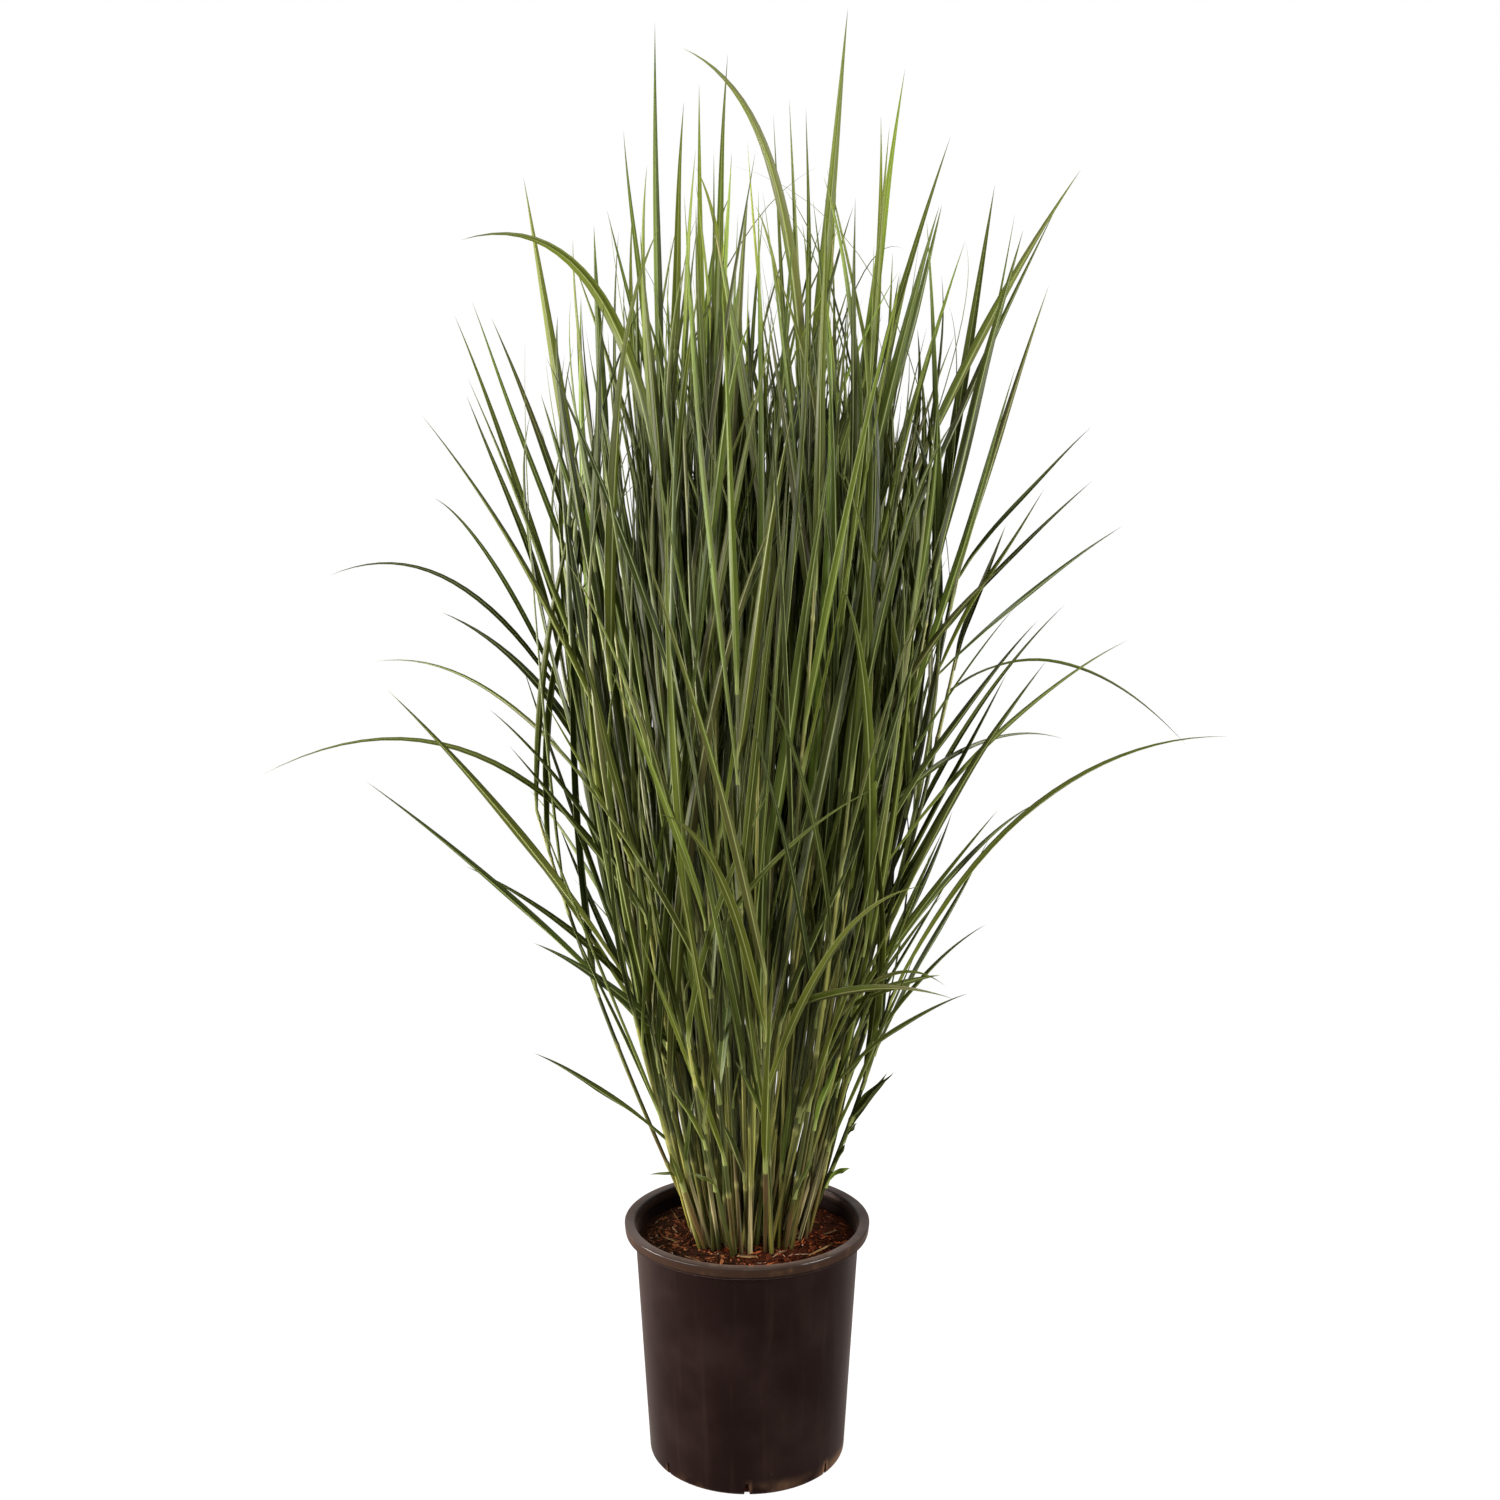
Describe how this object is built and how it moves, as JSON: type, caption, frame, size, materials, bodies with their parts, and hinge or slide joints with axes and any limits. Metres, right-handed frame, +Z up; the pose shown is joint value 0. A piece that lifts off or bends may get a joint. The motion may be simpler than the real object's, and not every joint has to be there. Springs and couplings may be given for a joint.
{
  "type": "potted switchgrass",
  "caption": "Tall upright clump of switchgrass with long arching blades, growing in a round tapered nursery pot with a flat rim flange.",
  "frame": {"origin": "centre of the pot's flat underside, on the surface that it stands on", "axes": "+Z up along the pot's axis, -Y towards the viewer of the picture, +X to that viewer's right"},
  "size_m": [0.9089, 0.7534, 1.352],
  "materials": {
    "pot_plastic": "satin black-brown moulded plastic, lightly scuffed",
    "bark_mix": "loose dry bark and coir mulch",
    "grass": "living leaf, satin, fine lengthwise veins"
  },
  "bodies": {
    "root": {"pot": "pot_plastic", "soil": "bark_mix", "tiller_01": "grass", "tiller_02": "grass", "tiller_03": "grass", "tiller_04": "grass", "tiller_05": "grass", "tiller_06": "grass", "tiller_07": "grass", "tiller_08": "grass", "tiller_09": "grass", "tiller_10": "grass", "tiller_11": "grass", "tiller_12": "grass", "tiller_13": "grass", "tiller_14": "grass", "tiller_15": "grass", "tiller_16": "grass", "tiller_17": "grass", "tiller_18": "grass", "tiller_19": "grass", "tiller_20": "grass", "tiller_21": "grass", "tiller_22": "grass", "tiller_23": "grass", "tiller_24": "grass", "tiller_25": "grass", "tiller_26": "grass", "tiller_27": "grass", "tiller_28": "grass", "tiller_29": "grass", "tiller_30": "grass", "tiller_31": "grass", "tiller_32": "grass", "tiller_33": "grass", "tiller_34": "grass", "tiller_35": "grass", "tiller_36": "grass", "tiller_37": "grass", "tiller_38": "grass", "tiller_39": "grass", "tiller_40": "grass", "tiller_41": "grass", "tiller_42": "grass", "tiller_43": "grass", "tiller_44": "grass", "tiller_45": "grass", "tiller_46": "grass", "tiller_47": "grass", "tiller_48": "grass", "tiller_49": "grass", "tiller_50": "grass", "tiller_51": "grass", "tiller_52": "grass", "tiller_53": "grass", "tiller_54": "grass", "tiller_55": "grass", "tiller_56": "grass"}
  },
  "joints": []
}
